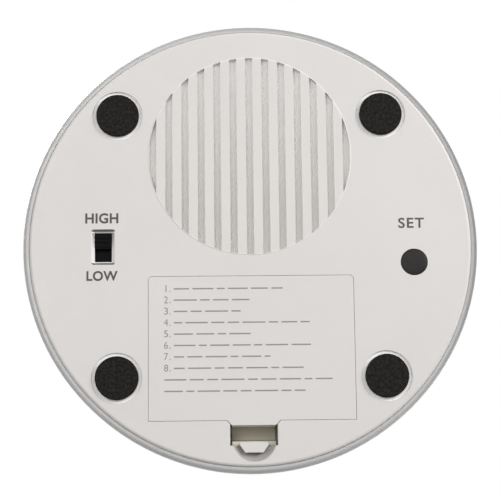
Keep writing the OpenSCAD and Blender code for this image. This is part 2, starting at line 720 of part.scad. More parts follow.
module speaker_frame() {
    r = speaker_d / 2;
    neck = coil_d / 2 + 0.6;
    window_w = speaker_d / 10;
    window_h = basket_h * 0.57;
    color("silver") at(speaker, flange_z) difference() {
        rotate_extrude() polygon([[r, 0], [r, steel_t], [r - 4, steel_t], [magnet_d / 2 + 0.8,
            clamp_z - flange_z + basket_h], [neck, clamp_z - flange_z + basket_h],
            [neck, clamp_z - flange_z + basket_h - steel_t],
            [magnet_d / 2, clamp_z - flange_z + basket_h - steel_t], [r - 4.8, 0]]);
        for (a = [30:60:330]) rotate(a)
            translate([magnet_d / 2 + 3 * steel_t, -window_w / 2, 2.5 * steel_t])
                cube([r, window_w, window_h]);
    }
}

module speaker_cone() {
    r = speaker_d / 2 - 3.4;
    paper = 0.4;
    roll = 0.75;
    neck = coil_d / 2;
    top = basket_h - 1;
    color("#2b2a29") at(speaker, flange_z) rotate_extrude() polygon(concat(
        [[r, 0], [r, -paper]],
        arc([r - roll - 0.6, -paper], [roll, roll * 0.8], 0, -180, 8),
        [[neck + 0.2, top]],
        arc([0, top - 0.2], [neck - 0.2, 2.2], 0, -90, 8),
        arc([0, top - 0.2], [neck - 0.2 - paper, 2.2 - paper], -90, 0, 8),
        [[neck - 0.4, top + 1.6], [neck, top + 1.6], [neck + 0.2 + paper, top],
        [r - 2 * roll - 0.6 + paper, 0]],
        arc([r - roll - 0.6, 0], [roll - paper / 2, roll * 0.6], -180, 0, 8)));
}

module speaker_magnet() {
    color("#4a4a4c") at(speaker, magnet_z) difference() {
        cylinder(d = magnet_d, h = magnet_h);
        translate([0, 0, -cut]) cylinder(d = coil_d + 1, h = cut + magnet_h * 0.6);
    }
}

module speaker_screws() {
    color("silver") for (p = CLAMPS) at(p, clamp_z) mirror([0, 0, 1]) {
        screw(small_screw_d, small_head_d, small_head_h + 0.5, small_bite);
        translate([0, 0, -0.5]) cylinder(d = clamp_head_d, h = 0.5);
    }
}

// Cells lie side by side, turned end for end in turn
module battery_cells() {
    color("#2f4f7f") for (i = [0:cells - 1]) cell_axis(i) mirror([i % 2, 0, 0])
        translate([-comp_w / 2 + contact_t + coil_l, 0, 0]) rotate([0, 90, 0]) {
            cylinder(d = cell_d, h = cell_l - nub_h);
            cylinder(d = nub_d, h = cell_l);
        }
}

// Plates at the ends of the cells: two bridge a pair of cells, and two stand alone
module contact_plates() {
    h = contact_h;
    half = cell_d * 0.4;
    pitch = cell_d + cell_gap;
    color("lightgray") for (s = [-1, 1], i = [0:cells - 1]) {
        first = s < 0 ? i == 1 : i == 0;
        alone = s < 0 ? i == 0 : i == cells - 1;
        if (first || alone) cell_axis(i) translate([s * (comp_w / 2 - contact_t / 2), 0, 0]) {
            translate([-contact_t / 2, -half, -h / 2])
                cube([contact_t, 2 * half + (first ? pitch : 0), h]);
            for (j = first ? [0, 1] : [0]) if (((i + j) % 2 == 0) == (s > 0))
                translate([s * -contact_t / 2, j * pitch, 0]) rotate([0, -s * 90, 0])
                    cylinder(d1 = nub_d + 2 * bump_h, d2 = nub_d, h = bump_h);
        }
    }
}

module battery_springs() {
    color("silver") for (i = [0:cells - 1]) cell_axis(i) mirror([i % 2, 0, 0])
        translate([-comp_w / 2 + contact_t, 0, 0]) rotate([0, 90, 0])
            coil(battery_spring_r, battery_spring_tip_r, coil_l, battery_spring_turns);
}

module voice_chip() {
    blob = [main_w * 0.3, board_t];
    color("#151515") at(main_at + [0, main_l / 5], board_z + board_t) rotate_extrude()
        polygon(concat([[0, 0]], arc([0, 0], blob, 0, 90, 10)));
}

module crystal_can() {
    can_d = 2;
    color("silver") at(main_at + [-crystal_l / 2, -main_l / 12], board_z + board_t + can_d / 2)
        rotate([0, 90, 0]) cylinder(d = can_d, h = crystal_l);
}

module capacitor() {
    color("#1d2a55") at(main_at + [capacitor_d / 2, -main_l / 4], board_z + board_t) difference() {
        cylinder(d = capacitor_d, h = capacitor_h);
        translate([0, 0, capacitor_d / 4]) ring(capacitor_d, capacitor_d / 2 - 0.15, 0.5);
    }
}

module set_switch() { color("#303030") at(set_at, board_z) push_switch(); }

module board_screws() {
    color("silver") {
        for (p = concat(MAIN_SCREWS, VOL_SCREWS)) at(p, board_z + board_t) mirror([0, 0, 1])
            small_screw(board_t + small_bite);
        for (p = TOP_SCREWS) at(p, deck_z + top_board_lift + board_t) mirror([0, 0, 1])
            small_screw(board_t + small_bite);
    }
}

module case_screws() {
    color("silver") for (p = FEET) at(p, join_z - screw_seat)
        screw(screw_d, screw_head_d, screw_head_h, screw_seat + screw_bite);
}

// Outline of the housing's outside, from the edge of its rebate up to the lip
function housing_outside(inset) = let (r = min(rim_round, rim_w - 2 * fit_gap))
    concat(arc([case_r - r, rim_z + r], [r - inset, r - inset], -90, 0, 6),
        swell(case_r - inset, rim_z + r, well_r + lip_round, lip_z - inset, side_power, 22));

module housing_shell() {
    rotate_extrude() polygon(concat(housing_outside(0),
        arc([well_r + lip_round, lip_z - lip_round], [lip_round, lip_round], 100, 180, 5),
        [[well_r, deck_z], [0, deck_z], [0, deck_z - deck_t], [well_r + well_wall, deck_z - deck_t]],
        reverse(swell(inner_r, plate_z, well_r + well_wall, lip_z - wall, side_power, 18)),
        [[rebate_r, plate_z], [rebate_r, rim_z]]));
}

module upper_housing() {
    boss_r = screw_d / 2 + slip + screw_wall + 0.8;
    top_post = small_bite + 2 * slip + 0.6;
    color("#b2b0af") difference() {
        union() {
            housing_shell();
            intersection() {
                for (p = FEET) at(p, join_z) cylinder(r = boss_r, h = lip_z - join_z);
                rotate_extrude() polygon(concat([[0, join_z - cut]],
                    [for (q = housing_outside(wall / 2)) [q[0], max(q[1], join_z - cut)]],
                    [[0, lip_z - wall / 2]]));
            }
            for (p = PEGS) at(p, deck_z - deck_t) cylinder(d = washer_d + 2, h = deck_t);
            for (p = TOP_SCREWS) at(p, deck_z + top_board_lift - top_post)
                cylinder(r = board_post_r, h = top_post);
        }
        for (p = FEET) at(p, join_z - cut) cylinder(d = screw_d + 2 * slip, h = screw_bite + 2 * cut);
        for (p = PEGS) at(p, deck_z - deck_t - cut) cylinder(d = peg_d + 2 * slip, h = deck_t + 2 * cut);
        for (p = TOP_SCREWS) at(p, deck_z + top_board_lift - small_bite - slip)
            cylinder(d = small_screw_d + 2 * slip, h = small_bite + cut);
        translate([-tact_w, -tact_w / 3, deck_z - deck_t - cut])
            cube([2 * tact_w, tact_w / 1.5, deck_t + 2 * cut]);
    }
}

module top_board() {
    color("#c9a35a") board([0, 0], top_board_w, top_board_l, deck_z + top_board_lift, TOP_SCREWS);
}

module top_switch() {
    color("#303030") translate([0, 0, deck_z + top_board_lift + board_t]) mirror([0, 0, 1])
        push_switch();
}

// Half outline of the dome's curve, drawn in by inset
function dome_curve(inset) = swell(dome_r - inset, dome_base_z, 0, crown_z - inset, dome_power, 26);

module top_button() {
    collar_z = deck_z + dome_spring_l;
    color("#2b2b2d") {
        rotate_extrude() polygon(concat([[dome_r - dome_wall, skirt_end_z], [dome_r, skirt_end_z]],
            dome_curve(0), reverse(dome_curve(dome_wall))));
        intersection() {
            union() {
                at([0, 0], dome_stem_z) cylinder(d = dome_stem_d, h = crown_z - dome_stem_z);
                for (p = PEGS) {
                    at(p, collar_z) cylinder(d = peg_d + 4, h = crown_z - collar_z);
                }
                for (i = [0:pegs - 1]) rotate(90 + i * 360 / pegs)
                    translate([0, -rib_t / 2, dome_stem_z + 1]) cube([peg_r, rib_t, dome_rise]);
            }
            rotate_extrude() polygon(concat([[0, 0], [dome_r - dome_wall / 2, 0]],
                dome_curve(dome_wall / 2)));
        }
        difference() {
            for (p = PEGS) at(p, deck_z - deck_t) cylinder(d = peg_d, h = dome_spring_l + deck_t + 1);
            for (p = PEGS) at(p, deck_z - deck_t - cut)
                cylinder(d = small_screw_d + 2 * slip, h = small_bite + 1.2 + cut);
        }
    }
}

module button_springs() {
    color("silver") for (p = PEGS) at(p, deck_z)
        coil(dome_spring_r, dome_spring_r, dome_spring_l, dome_spring_turns);
}

module button_washers() {
    color("silver") for (p = PEGS) at(p, deck_z - deck_t - washer_t)
        ring(washer_d / 2, small_screw_d / 2 + slip, washer_t);
}

module button_screws() {
    color("silver") for (p = PEGS) at(p, deck_z - deck_t - washer_t)
        small_screw(washer_t + small_bite);
}

bottom_cover();
battery_door();
foot_pads();
set_button();
volume_knob();
volume_lever();
volume_switch();
volume_board();
grille_screen();
speaker_gasket();
speaker_frame();
speaker_cone();
speaker_magnet();
speaker_screws();
battery_cells();
contact_plates();
battery_springs();
main_board();
voice_chip();
crystal_can();
capacitor();
set_switch();
board_screws();
case_screws();
upper_housing();
top_board();
top_switch();
top_button();
button_springs();
button_screws();
button_washers();
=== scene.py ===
# %% [markdown]
# A talking clock seen from below.
# The clock is a shallow round case about 114 mm wide that stands on four rubber pads. Its underside
# holds the speaker grille, the volume slider, the set key and the door of the battery compartment.
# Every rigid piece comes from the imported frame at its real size. This lesson adds the camera, the
# light, the finishes, the printing, and the pieces whose form is finer than a CAD solid's: the skin
# of the pads and the round wire of the springs.

# %% Load the frame
import math

import bpy
import numpy as np
from mathutils import Matrix, Quaternion, Vector


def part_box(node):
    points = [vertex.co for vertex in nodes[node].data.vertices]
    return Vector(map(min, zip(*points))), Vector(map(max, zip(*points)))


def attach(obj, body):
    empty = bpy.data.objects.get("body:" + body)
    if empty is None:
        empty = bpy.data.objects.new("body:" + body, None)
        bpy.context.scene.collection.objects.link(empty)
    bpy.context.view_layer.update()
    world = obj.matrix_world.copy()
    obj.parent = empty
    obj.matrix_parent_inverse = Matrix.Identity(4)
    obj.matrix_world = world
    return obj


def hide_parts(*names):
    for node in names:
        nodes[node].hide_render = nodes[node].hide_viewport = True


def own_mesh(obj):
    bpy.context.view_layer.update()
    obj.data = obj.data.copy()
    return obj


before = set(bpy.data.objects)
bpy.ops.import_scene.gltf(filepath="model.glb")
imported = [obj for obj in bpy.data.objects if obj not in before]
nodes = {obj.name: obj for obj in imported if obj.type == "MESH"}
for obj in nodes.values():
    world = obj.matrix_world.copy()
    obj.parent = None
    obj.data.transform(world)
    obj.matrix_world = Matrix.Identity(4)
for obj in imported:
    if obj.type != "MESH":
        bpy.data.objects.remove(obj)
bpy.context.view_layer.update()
MM = 0.001

# %% [markdown]
# The camera looks up at the underside from a little behind it, so the far side of the rim shows.
# A camera can be aimed with a constraint or with angles typed in by hand. Here it is worked out from
# where it stands, the point it looks at and a small roll, because these three can be read off a plan.

# %% Place the camera
EYE = Vector((-6.4, 77.5, -404.9)) * MM
AIM = Vector((-0.17, 1.52, 0.8)) * MM
ROLL = math.radians(-0.656)
LENS = 118.8
SENSOR = 36
NEAREST = 1 * MM
FARTHEST = 50

camera = bpy.data.objects.new("camera", bpy.data.cameras.new("camera"))
bpy.context.scene.collection.objects.link(camera)
camera.data.lens = LENS
camera.data.sensor_width = SENSOR
camera.data.clip_start = NEAREST
camera.data.clip_end = FARTHEST
back = (EYE - AIM).normalized()
right = Vector((0, -1, 0)).cross(back).normalized()
upward = back.cross(right)
aimed = Matrix((right, upward, back)).transposed().to_quaternion()
camera.rotation_mode = "QUATERNION"
camera.rotation_quaternion = Quaternion(back, ROLL) @ aimed
camera.location = EYE
bpy.context.scene.camera = camera
print("camera:", round((EYE - AIM).length / MM), "mm from the cover")

# %% [markdown]
# A material here is a small tree of nodes. The same few ideas return on every piece: a colour that
# drifts slowly, a roughness that isn't quite even, and a fine relief that catches the light.
# Each idea is one helper, so that a finish further on reads as a short list of what it is made of.
# Patterns read Object coordinates, because each piece has its place in its mesh and sits at the
# origin. Nearly all of a noise lies between 0.3 and 0.7, so a drift stretches that span to its range.

# %% Helpers for node trees
NODE_STEP = 220
NODE_COLUMNS = 6
NOISE_SPAN = (0.3, 0.7)


class Finish:
    """A material whose node tree is built one node at a time."""

    def __init__(self, name):
        self.material = bpy.data.materials.new(name)
        self.material.use_nodes = True
        self.tree = self.material.node_tree
        self.shader = self.tree.nodes["Principled BSDF"]
        self.count = 0
        self.place = self.add("ShaderNodeTexCoord").outputs["Object"]

    def add(self, kind, inputs=None, **settings):
        """Adds a node, sets its options, and gives its inputs a value or a link."""
        node = self.tree.nodes.new(kind)
        self.count += 1
        node.location = (-NODE_STEP * (1 + self.count % NODE_COLUMNS),
                         -NODE_STEP * (self.count // NODE_COLUMNS))
        for key, value in settings.items():
            setattr(node, key, value)
        for key, value in (inputs or {}).items():
            self.put(node.inputs[key], value)
        return node

    def put(self, socket, value):
        """Gives a socket a link or a plain value."""
        if isinstance(value, bpy.types.NodeSocket):
            self.tree.links.new(value, socket)
        else:
            socket.default_value = value

    def set(self, **values):
        """Sets sockets of the shader: base_color=... is the socket Base Color."""
        names = {s.name.lower().replace(" ", "_"): s for s in self.shader.inputs}
        for key, value in values.items():
            plain_colour = isinstance(value, tuple) and len(value) == 3
            self.put(names[key], (*value, 1) if plain_colour else value)
        return self

    def noise(self, size, detail=2.0, roughness=0.5, place=None):
        """Cloudy noise from 0 to 1 whose blobs are about size metres across."""
        return self.add("ShaderNodeTexNoise", {"Vector": place or self.place, "Scale": 1 / size,
                                               "Detail": detail, "Roughness": roughness}).outputs["Fac"]

    def cells(self, size):
        """Distance to the nearest seed of a jumble of cells about size metres across."""
        voronoi = self.add("ShaderNodeTexVoronoi", {"Vector": self.place, "Scale": 1 / size})
        return voronoi.outputs["Distance"]

    def spread(self, value, low, high, start=0.0, end=1.0):
        """Maps value from start..end onto low..high, held at both ends."""
        return self.add("ShaderNodeMapRange", {"Value": value, "From Min": start, "From Max": end,
                                               "To Min": low, "To Max": high}).outputs["Result"]

    def drift(self, size, detail, low=0.0, high=1.0, roughness=0.5):
        """A noise that wanders over the whole of low..high."""
        return self.spread(self.noise(size, detail, roughness), low, high, *NOISE_SPAN)

    def mix(self, amount, first, second):
        """A colour between first and second."""
        node = self.add("ShaderNodeMix", data_type="RGBA")
        for name, value in (("A", first), ("B", second)):
            socket = next(s for s in node.inputs if s.name == name and s.type == "RGBA")
            self.put(socket, value if isinstance(value, bpy.types.NodeSocket) else (*value, 1))
        self.put(node.inputs["Factor"], amount)
        return next(s for s in node.outputs if s.type == "RGBA")

    def maths(self, operation, first, second=0.0):
        """One arithmetic step."""
        return self.add("ShaderNodeMath", {0: first, 1: second}, operation=operation).outputs[0]

    def vector(self, operation, first, second=None):
        """One step on vectors: a distance or a length comes out as a number, the rest as a vector."""
        inputs = {0: first} if second is None else {0: first, 1: second}
        step = self.add("ShaderNodeVectorMath", inputs, operation=operation)
        return step.outputs["Value" if operation in ("DISTANCE", "LENGTH") else "Vector"]

    def axis(self, name, place=None):
        """X, Y or Z of a place."""
        return self.add("ShaderNodeSeparateXYZ", {0: place or self.place}).outputs[name]

    def apart(self, value, centre):
        """How far a value lies from centre, on either side of it."""
        return self.maths("ABSOLUTE", self.maths("SUBTRACT", value, centre))

    def below(self, value, limit):
        """1 where value is less than limit, 0 elsewhere."""
        return self.maths("LESS_THAN", value, limit)

    def all_of(self, mask, *others):
        """The product of masks, which is 1 only where each of them is 1."""
        for other in others:
            mask = self.maths("MULTIPLY", mask, other)
        return mask

    def relief(self, height, depth, strength=1.0):
        """Bumps the surface by height times depth metres."""
        bump = self.add("ShaderNodeBump", {"Height": height, "Distance": depth, "Strength": strength})
        return self.set(normal=bump.outputs["Normal"])

    def grain(self, size, depth, strength=1.0, detail=3, roughness=0.5, place=None):
        """A relief of fine noise, as a mould's surface leaves it."""
        return self.relief(self.noise(size, detail, roughness, place), depth, strength)

    def dress(self, *names):
        """Puts the finish on CAD nodes."""
        for name in names:
            mesh = nodes[name].data
            mesh.materials.clear()
            mesh.materials.append(self.material)
        print(f"{self.material.name} on {', '.join(names)}")
        return self


def tone(colour, factor):
    """The colour made lighter or darker by a factor."""
    return tuple(min(1.0, c * factor) for c in colour)


# %% [markdown]
# Each new piece is worked out with numpy as arrays of vertices and faces in millimetres. One helper
# turns them into metres and into a mesh, and says which body the piece rides on.

# %% Helper for new pieces


def piece(name, parts, finish, body, smooth=False):
    """One mesh object from several (vertices in mm, faces) parts, riding on a body."""
    points, faces, start = [], [], 0
    for part_points, part_faces in parts:
        points.append(part_points)
        faces += [tuple(i + start for i in f) for f in part_faces]
        start += len(part_points)
    mesh = bpy.data.meshes.new(name)
    mesh.from_pydata((np.concatenate(points) * MM).tolist(), [], faces)
    mesh.polygons.foreach_set("use_smooth", [smooth] * len(mesh.polygons))
    mesh.materials.append(finish.material)
    made = bpy.data.objects.new(name, mesh)
    bpy.context.scene.collection.objects.link(made)
    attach(made, body)
    print(f"{name}: {len(mesh.vertices)} vertices, {len(mesh.polygons)} faces")
    return made


# %% [markdown]
# The bottom cover and the door are moulded in an olive-grey plastic and then sprayed a pale, warm
# silver-white from below. The spray reaches the outside face and the edges, and leaves the plastic
# bare further in, which shows inside the latch's bend. One could paint two materials on two sets of
# faces, but the fade of a spray has no edge, so the mix is driven by how deep a point lies.
# The two colours come first. The coat's colour drifts by a hair, and pale flakes freckle it.

# %% Colours of the coat and of the bare plastic
FACE_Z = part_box("battery_door")[0].z
PAINT = (0.705, 0.68, 0.66)
PAINT_TONES = (0.985, 1.015)
PAINT_PATCH = 28 * MM
FLAKE = (0.93, 0.93, 0.95)
FLAKE_SIZE = 0.35 * MM
FLAKE_SPAN = (0.35, 0.7)
FLAKE_SHARE = 0.05
BARE_PLASTIC = (0.635, 0.602, 0.5)
BARE_TONES = (0.9, 1.12)
BARE_PATCH = 6 * MM


def spray_coat(finish):
    """The colour of the coat where nothing touched it."""
    coat = finish.mix(finish.drift(PAINT_PATCH, 3), *(tone(PAINT, t) for t in PAINT_TONES))
    flakes = finish.spread(finish.noise(FLAKE_SIZE, 2, 0.6), 0.0, FLAKE_SHARE, *FLAKE_SPAN)
    return finish.mix(flakes, coat, FLAKE)


def bare_plastic(finish):
    """The olive-grey of the plastic under the coat."""
    return finish.mix(finish.noise(BARE_PATCH), *(tone(BARE_PLASTIC, t) for t in BARE_TONES))


print("cover's face at", round(FACE_Z / MM, 2), "mm")

# %% [markdown]
# The coat's colour also carries painted light and shade. In the finger scallop beside the latch it is
# painted a darker grey, a painted shade for the hollow. Round each pad a ring is painted brighter, a
# painted highlight on the recess. The leg of the latch, a wall that the lamps don't reach, is painted
# light, and the edge of the grille gets a painted highlight. Each of these is a mask, a number from 0
# to 1 that comes from the distance of a point to the place in question.

# %% Where the coat carries painted shade and painted highlights
# The next colour is painted shade: a darker grey laid in the finger scallop for the shade in that
# hollow.
SCALLOP_SHADE = (0.395, 0.376, 0.368)
# The next colour is a painted highlight: a near-white laid on the pads' rings, the latch's leg and the
# grille's edge.
PAINTED_HIGHLIGHT = (0.97, 0.96, 0.95)
SCALLOP_AT = Vector((0.35, 48.8, 0.8)) * MM
SCALLOP_REACH = 6.16 * MM
SCALLOP_DEPTH = (0.02 * MM, 0.4 * MM)
LEG_Y = 45.2 * MM
LEG_REACH = 1.1 * MM
PAD_RADIUS = 5.4 * MM
# The ring of painted highlight round each pad reaches this far from the pad's centre.
PAD_HIGHLIGHT_R = 6.3 * MM
PAD_HIGHLIGHT_EDGE = 0.1 * MM
GRILLE_AT = Vector((0, -22.9, 0.8)) * MM
GRILLE_R = 25.5 * MM
# The painted highlight on the grille's edge has this width and this share of the bright colour.
EDGE_HIGHLIGHT_WIDTH = 0.3 * MM
EDGE_HIGHLIGHT_SHARE = 0.4

pads_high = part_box("foot_pads")[1]
pad_place = pads_high.x - PAD_RADIUS


def deeper(finish, start, end):
    """0 down to the depth start behind the cover's face and 1 from the depth end on."""
    return finish.spread(finish.axis("Z"), 0, 1, FACE_Z + start, FACE_Z + end)


def scallop_shade_mask(finish):
    """Painted shade: 1 below the cover's face, within SCALLOP_REACH of the scallop's centre."""
    near = finish.below(finish.vector("DISTANCE", finish.place, SCALLOP_AT), SCALLOP_REACH)
    return finish.all_of(deeper(finish, *SCALLOP_DEPTH), near)


def on_leg(finish):
    """1 where Y lies within LEG_REACH of the middle of the latch's leg."""
    return finish.below(finish.apart(finish.axis("Y"), LEG_Y), LEG_REACH)


def pad_ring_highlight(finish):
    """Painted highlight: 1 within the ring's radius of a pad's centre. The absolute place lays the
    four pads on one another.
    """
    folded = finish.vector("ABSOLUTE", finish.place)
    from_pad = finish.vector("DISTANCE", folded, (pad_place, pad_place, FACE_Z))
    return finish.spread(from_pad, 1, 0, PAD_HIGHLIGHT_R - PAD_HIGHLIGHT_EDGE, PAD_HIGHLIGHT_R)


def grille_edge_highlight(finish):
    """Painted highlight on the grille's edge: its share at the radius GRILLE_R from the grille's
    centre, and 0 from its width away.
    """
    from_grille = finish.vector("DISTANCE", finish.place, GRILLE_AT)
    return finish.spread(finish.apart(from_grille, GRILLE_R), EDGE_HIGHLIGHT_SHARE, 0, 0, EDGE_HIGHLIGHT_WIDTH)


print("pads at", round(pad_place / MM, 2), "mm from the middle, along X and along Y")

# %% [markdown]
# The bevel of the slider's window is painted bright, a painted highlight, with a line of painted shade
# at its two ends and a painted shadow of the knob down the sides from the end that the slider is pushed
# to. A place measured from the window's centre tells the bevel from the face round it.

# %% Painted highlight and shade on the bevel of the slider's window
WINDOW_AT = Vector((-36.9, 0.45, 0)) * MM
WINDOW_HALF_W = 2.95 * MM
WINDOW_HALF_L = 4.5 * MM
WINDOW_CORNER = 0.45 * MM
# The bevel's colour is a painted highlight. The dark colour is painted shade at the window's ends and,
# down its sides, a painted shadow of the knob; the lengths after it place these.
BEVEL_HIGHLIGHT = (0.86, 0.85, 0.84)
BEVEL_SHADE = (0.13, 0.122, 0.118)
END_SHADE_REACH = 0.6 * MM
END_SHADE_FULL = 0.45 * MM
KNOB_SHADOW_SHARE = 0.85
KNOB_SHADOW_IN = 0.22 * MM
KNOB_SHADOW_CLEAR = 0.8 * MM
KNOB_SHADOW_END = 0.5 * MM


def window_bevel(finish, paint):
    """The colour paint, but the bevel's own colour inside the outline of the window: a painted
    highlight with painted shade. There |x| is less than the half width, |y| less than the half length,
    and |x| + |y| less than their sum by WINDOW_CORNER. The painted shade lies where |y| comes within a
    short reach of the half length, and a painted shadow of the knob runs down the sides and thins out
    evenly along y."""
    place = finish.vector("SUBTRACT", finish.place, WINDOW_AT)
    folded = finish.vector("ABSOLUTE", place)
    across, along = finish.axis("X", folded), finish.axis("Y", folded)
    bevel = finish.all_of(finish.below(across, WINDOW_HALF_W), finish.below(along, WINDOW_HALF_L),
                          finish.below(finish.maths("ADD", across, along),
                                       WINDOW_HALF_W + WINDOW_HALF_L - WINDOW_CORNER))
    # Painted shadow of the knob down the sides of the bevel, from the end that the knob is pushed to.
    knob_shadow = finish.spread(finish.axis("Y", place), KNOB_SHADOW_SHARE, 0, -WINDOW_HALF_L, KNOB_SHADOW_END)
    knob_shadow = finish.all_of(knob_shadow, finish.below(across, WINDOW_HALF_W - KNOB_SHADOW_IN),
                          finish.below(along, WINDOW_HALF_L - KNOB_SHADOW_CLEAR))
    # Painted shade at the two ends of the bevel.
    ends = finish.spread(along, 0, 1, WINDOW_HALF_L - END_SHADE_REACH, WINDOW_HALF_L - END_SHADE_FULL)
    bevel_shade = finish.maths("MAXIMUM", ends, knob_shadow)
    return finish.mix(bevel, paint, finish.mix(bevel_shade, BEVEL_HIGHLIGHT, BEVEL_SHADE))


print("slider's window in mm:", [round(2 * half / MM, 1) for half in (WINDOW_HALF_W, WINDOW_HALF_L)])

# %% [markdown]
# The whole finish lays the painted shade and the painted highlights on the coat one after the other,
# and fades from there to the bare plastic. The cover is sprayed deeper than the door, whose bent latch
# shades itself.

# %% Sprayed plastic of the cover and the door
COVER_FADE = (2.2 * MM, 3.4 * MM)
DOOR_FADE = (0.8 * MM, 1.7 * MM)
# Painted light on the latch's leg: between the first pair of depths its coat turns near-white, and
# between the second it fades out far deeper than elsewhere, so the wall that the lamps don't reach
# looks lit.
LEG_LIGHT_DEPTH = (0.9 * MM, 1.1 * MM)
LEG_FADE = (5.5 * MM, 8.2 * MM)
WANDER = 0.1
WANDER_PATCH = 2.5 * MM
COAT_ROUGHNESS = (0.4, 0.52)


def sprayed_plastic(name, fade):
    """Pale satin paint over olive plastic, with painted shade and painted highlights laid on it. The
    paint fades out between the two depths of fade, but on the leg of the latch it is painted light and
    fades out between those of LEG_FADE."""
    finish = Finish(name)
    leg = on_leg(finish)
    # Painted shade: the finger scallop is painted a darker grey.
    paint = finish.mix(scallop_shade_mask(finish), spray_coat(finish), SCALLOP_SHADE)
    # Painted light: the latch's leg is painted near-white.
    paint = finish.mix(finish.all_of(deeper(finish, *LEG_LIGHT_DEPTH), leg), paint, PAINTED_HIGHLIGHT)
    # Painted highlight: a bright ring round each pad.
    paint = finish.mix(pad_ring_highlight(finish), paint, PAINTED_HIGHLIGHT)
    # Painted highlight: a bright line on the grille's edge.
    paint = finish.mix(grille_edge_highlight(finish), paint, PAINTED_HIGHLIGHT)
    # Painted highlight and painted shade on the bevel of the slider's window.
    paint = window_bevel(finish, paint)
    bare = finish.all_of(deeper(finish, *fade), finish.maths("SUBTRACT", 1.0, leg))
    bare = finish.maths("MAXIMUM", bare, deeper(finish, *LEG_FADE))
    wander = finish.spread(finish.noise(WANDER_PATCH), -WANDER, WANDER)
    bare = finish.add("ShaderNodeClamp", {"Value": finish.maths("ADD", bare, wander)}).outputs[0]
    finish.set(base_color=finish.mix(bare, paint, bare_plastic(finish)),
               roughness=finish.drift(3 * MM, 4, *COAT_ROUGHNESS))
    return finish.grain(0.3 * MM, 0.012 * MM, 0.5, detail=4, roughness=0.6)


sprayed_plastic("sprayed_cover", COVER_FADE).dress("bottom_cover")
sprayed_plastic("sprayed_door", DOOR_FADE).dress("battery_door")

# %% [markdown]
# The upper housing is a silver-grey plastic with fine metal flakes in it. It could be a metal, but
# its colour stays even as the light turns, so it is a plastic whose flakes only freckle the surface.

# %% Silver-grey plastic of the housing
SILVER = (0.485, 0.48, 0.477)
SILVER_TONES = (1.08, 0.95)
METAL_FLAKE = 0.25 * MM
METAL_FLAKE_SPAN = (0.1, 0.6)

silver = Finish("silver_grey_plastic")
flake = silver.spread(silver.cells(METAL_FLAKE), 0, 1, *METAL_FLAKE_SPAN)
silver.set(base_color=silver.mix(flake, *(tone(SILVER, t) for t in SILVER_TONES)),
           roughness=silver.drift(4 * MM, 4, 0.33, 0.45), metallic=0.15)
silver.grain(0.35 * MM, 0.01 * MM, 0.4, roughness=0.6).dress("upper_housing")

# %% [markdown]
# The press dome on top is black ABS, satin rather than glossy, and a hand has rubbed parts of it a
# little smoother. The rubbed parts are a wide noise that lowers the roughness, not a second paint.

# %% Black plastic of the dome
DOME_BLACKS = ((0.007, 0.007, 0.008), (0.012, 0.012, 0.0135))

dome = Finish("black_satin_plastic")
dome.set(base_color=dome.mix(dome.noise(14 * MM, 4), *DOME_BLACKS),
         roughness=dome.drift(22 * MM, 3, 0.2, 0.34, roughness=0.6), specular_ior_level=0.35)
dome.grain(0.4 * MM, 0.012 * MM, 0.45, detail=4, roughness=0.65).dress("top_button")

# %% [markdown]
# The set key and the volume slider are charcoal plastic with a dull moulded surface.
# Both are worn a touch lighter in places, which a noise does well enough on so small a piece.
# The slider sits down in its window and is darker and duller than the key.

# %% Charcoal plastic of the key and the slider
KEY_CHARCOALS = ((0.0118, 0.01, 0.0094), (0.019, 0.0163, 0.0155))
SLIDER_BLACKS = ((0.001, 0.0009, 0.0008), (0.0045, 0.004, 0.0038))

key = Finish("charcoal_plastic")
key.set(base_color=key.mix(key.drift(1.6 * MM, 4), *KEY_CHARCOALS),
        roughness=key.spread(key.noise(0.8 * MM, 3), 0.4, 0.55), specular_ior_level=0.2)
key.grain(0.25 * MM, 0.012 * MM, 0.6, detail=4, roughness=0.6).dress("set_button")

slider = Finish("black_slider_plastic")
slider.set(base_color=slider.mix(slider.noise(1.2 * MM, 4), *SLIDER_BLACKS), roughness=0.45,
           specular_ior_level=0.05)
slider.grain(0.25 * MM, 0.012 * MM, 0.6, detail=4, roughness=0.6)
slider.dress("volume_knob", "volume_lever", "volume_switch", "set_switch", "top_switch")

# %% [markdown]
# The pads under the clock are die-cut rubber with a pebbled skin. A bump alone would leave the face
# flat where it catches light from the side, so this skin is real relief. Each pad is a stack of rings
# from its centre out over the rounded edge and up its side, and a height is taken off the face alone.

# %% Rubber of the pads
RUBBER_BLACKS = ((0.0012, 0.001, 0.001), (0.017, 0.014, 0.0125))
BLOTCH = 0.75 * MM
BLOTCH_SPAN = (0.38, 0.62)

rubber = Finish("pebbled_rubber")
blotch = rubber.spread(rubber.noise(BLOTCH, 3, 0.6), 0, 1, *BLOTCH_SPAN)
rubber.set(base_color=rubber.mix(blotch, *RUBBER_BLACKS),
           roughness=rubber.spread(rubber.noise(0.9 * MM, 3), 0.55, 0.75), specular_ior_level=0.12)
rubber.grain(0.12 * MM, 0.015 * MM, 0.6, roughness=0.6)
print("rubber:", rubber.count, "nodes")

# %% Pebbled skin of the pads
PEBBLE = 0.62
PEBBLE_DEPTH = 0.045
PEBBLE_CREST = 0.7
GRID_BEND = 0.12
BEND_X = (0.7, 1.9)
BEND_Y = (2.3, -0.5)
PAD_RINGS = 44
PAD_SECTORS = 168
PAD_EDGE = 0.3
PAD_EDGE_RINGS = 5
PAD_MIDDLE = 0.02
PAD_SMOOTH = 0.4


